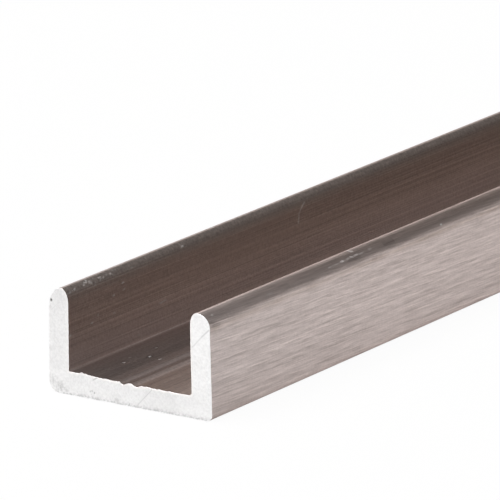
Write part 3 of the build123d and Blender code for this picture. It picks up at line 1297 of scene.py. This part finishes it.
def bare_material(groups, finish):
    """Sawn aluminium: nearly white and finely mottled, with faint slanting saw lines, painted shade and
    scratches.

    Its mask of dullness and painted shade says how grey it is from place to place, and a painted highlight
    runs along its inner edge.
    """
    material, tree, shader = new_material("sawn_aluminium")
    shader["Metallic"].default_value = 1.0
    place = node(tree, "ShaderNodeTexCoord").outputs["Object"]
    turned = node(tree, "ShaderNodeMapping", {"Vector": place, "Rotation": (0.0, SAW_SLANT, 0.0)})
    parts = split(tree, turned.outputs["Vector"])
    plane = joined(tree, X=parts["X"], Y=parts["Z"])
    strokes = placed(tree, groups["brush_lines"], Vector=plane, **SAW_LINES)["Lines"]
    mottle = noise(tree, place, CUT_MOTTLE, 3.0)
    edge, marks = attribute(tree, CUT_EDGE_HIGHLIGHT), attribute(tree, CUT_MARKS)
    dull_and_shade = maths(tree, "MAXIMUM", cut_dullness_and_shade(tree, place, mottle, strokes, edge), marks, clamp=True)
    tone = blend_colours(tree, dull_and_shade, finish.bare, finish.bare_dull_and_shade)
    tone = blend_colours(tree, remap(tree, marks, *PIT_STRENGTHS), tone, finish.pit)
    # Tint of the painted highlight along the inner edge
    tone = tinted(tree, maths(tree, "MULTIPLY", edge, EDGE_TINTED), tone, finish.edge_highlight_tint)
    feed(tree, tone, shader["Base Color"])
    middle, spread = finish.bare_roughness, CUT_ROUGHNESS_SPREAD
    feed(tree, blend_values(tree, mottle, middle - spread, middle + spread), shader["Roughness"])
    add_relief(tree, shader, CUT_RELIEF * finish.line_depth, blend_values(tree, 0.5, mottle, strokes))
    return material


# The stage


# Each soft lamp's name, place, the point it faces, width and height in metres, and level, where 1 is white
LAMPS = (
    ("overhead_softbox", (-0.2, -0.4, 0.95), (0.0, 0.0, 0.0), (0.8, 0.8), 5.0),
    ("panel_behind_left", (-0.43, 0.33, 0.14), (0.0, -0.1, 0.14), (0.5, 0.27), 1.2),
    ("front_panel", (-0.8, -1.25, 0.27), (0.0, -0.15, 0.0), (1.0, 0.5), 1.43),
)
# The grey card's middle, and the way from it to its right-hand edge and to its top edge, in metres
CARD_MIDDLE = (0.85, 1.2, 0.2)
CARD_RIGHT = (0.9, -0.6, 0.0)
CARD_UP = (0.0, 0.0, 0.2)
# The floor lies this far below the bar
FLOOR_GAP = 0.01 * MM
# The floor's paint, and how far it is plain white instead: to the camera, and to what mirrors it
FLOOR_PAINT = (0.9, 0.9, 0.9)
WHITE_TO_CAMERA = 0.95
WHITE_TO_MIRRORS = 0.3
# The camera's sensor, in millimetres, and the nearest that it sees, in metres
SENSOR_WIDTH = 36.0
NEAR_CLIP = 0.01


def floor_material():
    """Pale floor, lit and shaded as paint.

    Most of it is plain white to the camera, and less of it is to what mirrors it.
    """
    material, tree, _ = new_material("pale_floor")
    tree.nodes.clear()
    paint = node(tree, "ShaderNodeBsdfDiffuse", {"Color": FLOOR_PAINT})
    white = node(tree, "ShaderNodeEmission", {"Color": (1.0, 1.0, 1.0), "Strength": 1.0})
    path = node(tree, "ShaderNodeLightPath").outputs
    mirrored_ray = maths(tree, "MAXIMUM", path["Is Glossy Ray"], path["Is Transmission Ray"])
    to_camera = maths(tree, "MULTIPLY", path["Is Camera Ray"], WHITE_TO_CAMERA)
    share = maths(tree, "ADD", to_camera, maths(tree, "MULTIPLY", mirrored_ray, WHITE_TO_MIRRORS))
    shade = node(tree, "ShaderNodeMixShader", {"Fac": share})
    feed(tree, paint.outputs["BSDF"], shade.inputs[1])
    feed(tree, white.outputs["Emission"], shade.inputs[2])
    node(tree, "ShaderNodeOutputMaterial", {"Surface": shade.outputs["Shader"]})
    return material


def card_material(studio):
    """Dull grey card."""
    material, tree, shader = new_material("grey_card")
    feed(tree, studio.card, shader["Base Color"])
    shader["Roughness"].default_value = 1.0
    return material


def surround_world(studio):
    """A plain surround: white at the horizon, changing evenly to a dimmer, warmer tone overhead."""
    world = bpy.data.worlds.new("surround")
    world.use_nodes = True
    tree = world.node_tree
    tree.nodes.clear()
    place = node(tree, "ShaderNodeTexCoord").outputs["Generated"]
    start, end = math.sin(0.5 * studio.horizon), math.sin(1.5 * studio.horizon)
    rise = remap(tree, split(tree, place)["Z"], start, end)
    colour = blend_colours(tree, rise, (1.0, 1.0, 1.0), studio.overhead)
    background = node(tree, "ShaderNodeBackground", {"Color": colour, "Strength": 1.0})
    node(tree, "ShaderNodeOutputWorld", {"Surface": background.outputs["Background"]})
    return world


def add_sheet(name, middle, right, up, material):
    """A flat sheet: its corners are its middle plus or minus right, plus or minus up."""
    middle, right, up = Vector(middle), Vector(right), Vector(up)
    corners = (middle - right - up, middle + right - up, middle + right + up, middle - right + up)
    mesh = bpy.data.meshes.new(name)
    mesh.from_pydata(corners, [], [(0, 1, 2, 3)])
    mesh.materials.append(material)
    sheet = bpy.data.objects.new(name, mesh)
    bpy.context.scene.collection.objects.link(sheet)
    return sheet


def add_panel(name, place, target, size, level):
    """A soft rectangular lamp at place, facing target. Its power is pi times its area times its level."""
    lamp = bpy.data.lights.new(name, "AREA")
    lamp.shape = "RECTANGLE"
    lamp.size, lamp.size_y = size
    lamp.energy = math.pi * size[0] * size[1] * level
    made = bpy.data.objects.new(name, lamp)
    made.location = place
    made.rotation_euler = (Vector(place) - Vector(target)).to_track_quat("Z", "Y").to_euler()
    made.visible_camera = False
    bpy.context.scene.collection.objects.link(made)
    return made


def camera_matrix(studio):
    """The camera's place and turn. It looks at its aim, along +Y at azimuth 0, and roll turns it last."""
    back = Vector((
        math.sin(studio.azimuth) * math.cos(studio.elevation),
        -math.cos(studio.azimuth) * math.cos(studio.elevation),
        math.sin(studio.elevation),
    ))
    turn = back.to_track_quat("Z", "Y").to_matrix().to_4x4()
    place = Vector(studio.aim) + back * studio.distance
    return Matrix.Translation(place) @ turn @ Matrix.Rotation(studio.roll, 4, "Z")


# Operators


class CHANNEL_OT_bar(Operator):
    """Build the bar, with its sawn ends, in the place of the plain solid"""

    bl_idname = "channel.bar"
    bl_label = "Bar"

    def execute(self, context):
        scene = context.scene
        mesh = make_mesh(scene.channel_sizes, scene.channel_ends)
        join_mesh(mesh)
        groups = {group.name: group for group in (brush_lines_group(), specks_group(), short_mark_group())}
        mesh.materials.append(nickel_material(groups, scene.channel_finish))
        mesh.materials.append(bare_material(groups, scene.channel_finish))
        bar = bpy.data.objects.new(BAR, mesh)
        scene.collection.objects.link(bar)
        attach(bar, BODY)
        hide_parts(NODE)
        return {"FINISHED"}


class CHANNEL_OT_stage(Operator):
    """Lay the pale floor, stand the grey card behind and set the surround"""

    bl_idname = "channel.stage"
    bl_label = "Stage"

    def execute(self, context):
        scene = context.scene
        studio = scene.channel_studio
        half = 0.5 * studio.floor_size
        low = (0.0, 0.0, BAR_LOW.z - FLOOR_GAP)
        add_sheet("floor", low, (half, 0.0, 0.0), (0.0, half, 0.0), floor_material())
        card = add_sheet("grey_card", CARD_MIDDLE, CARD_RIGHT, CARD_UP, card_material(studio))
        card.visible_camera = False
        scene.world = surround_world(studio)
        return {"FINISHED"}


class CHANNEL_OT_lamps(Operator):
    """Hang the soft lamps"""

    bl_idname = "channel.lamps"
    bl_label = "Lamps"

    def execute(self, context):
        for name, place, target, size, level in LAMPS:
            add_panel(name, place, target, size, level)
        return {"FINISHED"}


class CHANNEL_OT_camera(Operator):
    """Place the camera and set how colours are shown"""

    bl_idname = "channel.camera"
    bl_label = "Camera"

    def execute(self, context):
        scene = context.scene
        studio = scene.channel_studio
        camera = bpy.data.cameras.new("camera")
        camera.sensor_width = SENSOR_WIDTH
        camera.lens = studio.lens
        camera.clip_start = NEAR_CLIP
        made = bpy.data.objects.new("camera", camera)
        made.matrix_world = camera_matrix(studio)
        scene.collection.objects.link(made)
        scene.camera = made
        scene.view_settings.view_transform = "Standard"
        return {"FINISHED"}


class CHANNEL_PT_sidebar(Panel):
    """Buttons and sizes for the bar and its studio"""

    bl_idname = "CHANNEL_PT_sidebar"
    bl_label = "U-channel"
    bl_space_type = "VIEW_3D"
    bl_region_type = "UI"
    bl_category = "U-channel"

    def draw(self, context):
        layout = self.layout
        for operator in OPERATORS:
            layout.operator(operator.bl_idname)
        for name, kind in SETTINGS.items():
            box = layout.box()
            for prop in kind.__annotations__:
                box.prop(getattr(context.scene, name), prop)


SETTINGS = {
    "channel_sizes": ChannelSizes,
    "channel_ends": SawnEndSizes,
    "channel_finish": FinishColours,
    "channel_studio": StudioSettings,
}
OPERATORS = (CHANNEL_OT_bar, CHANNEL_OT_stage, CHANNEL_OT_lamps, CHANNEL_OT_camera)
CLASSES = (*SETTINGS.values(), *OPERATORS, CHANNEL_PT_sidebar)


def register():
    for item in CLASSES:
        bpy.utils.register_class(item)
    for name, kind in SETTINGS.items():
        setattr(bpy.types.Scene, name, PointerProperty(type=kind))


def unregister():
    for name in SETTINGS:
        delattr(bpy.types.Scene, name)
    for item in reversed(CLASSES):
        bpy.utils.unregister_class(item)


def main():
    register()
    for operator in OPERATORS:
        group, name = operator.bl_idname.split(".")
        getattr(getattr(bpy.ops, group), name)()


if __name__ == "__main__":
    main()
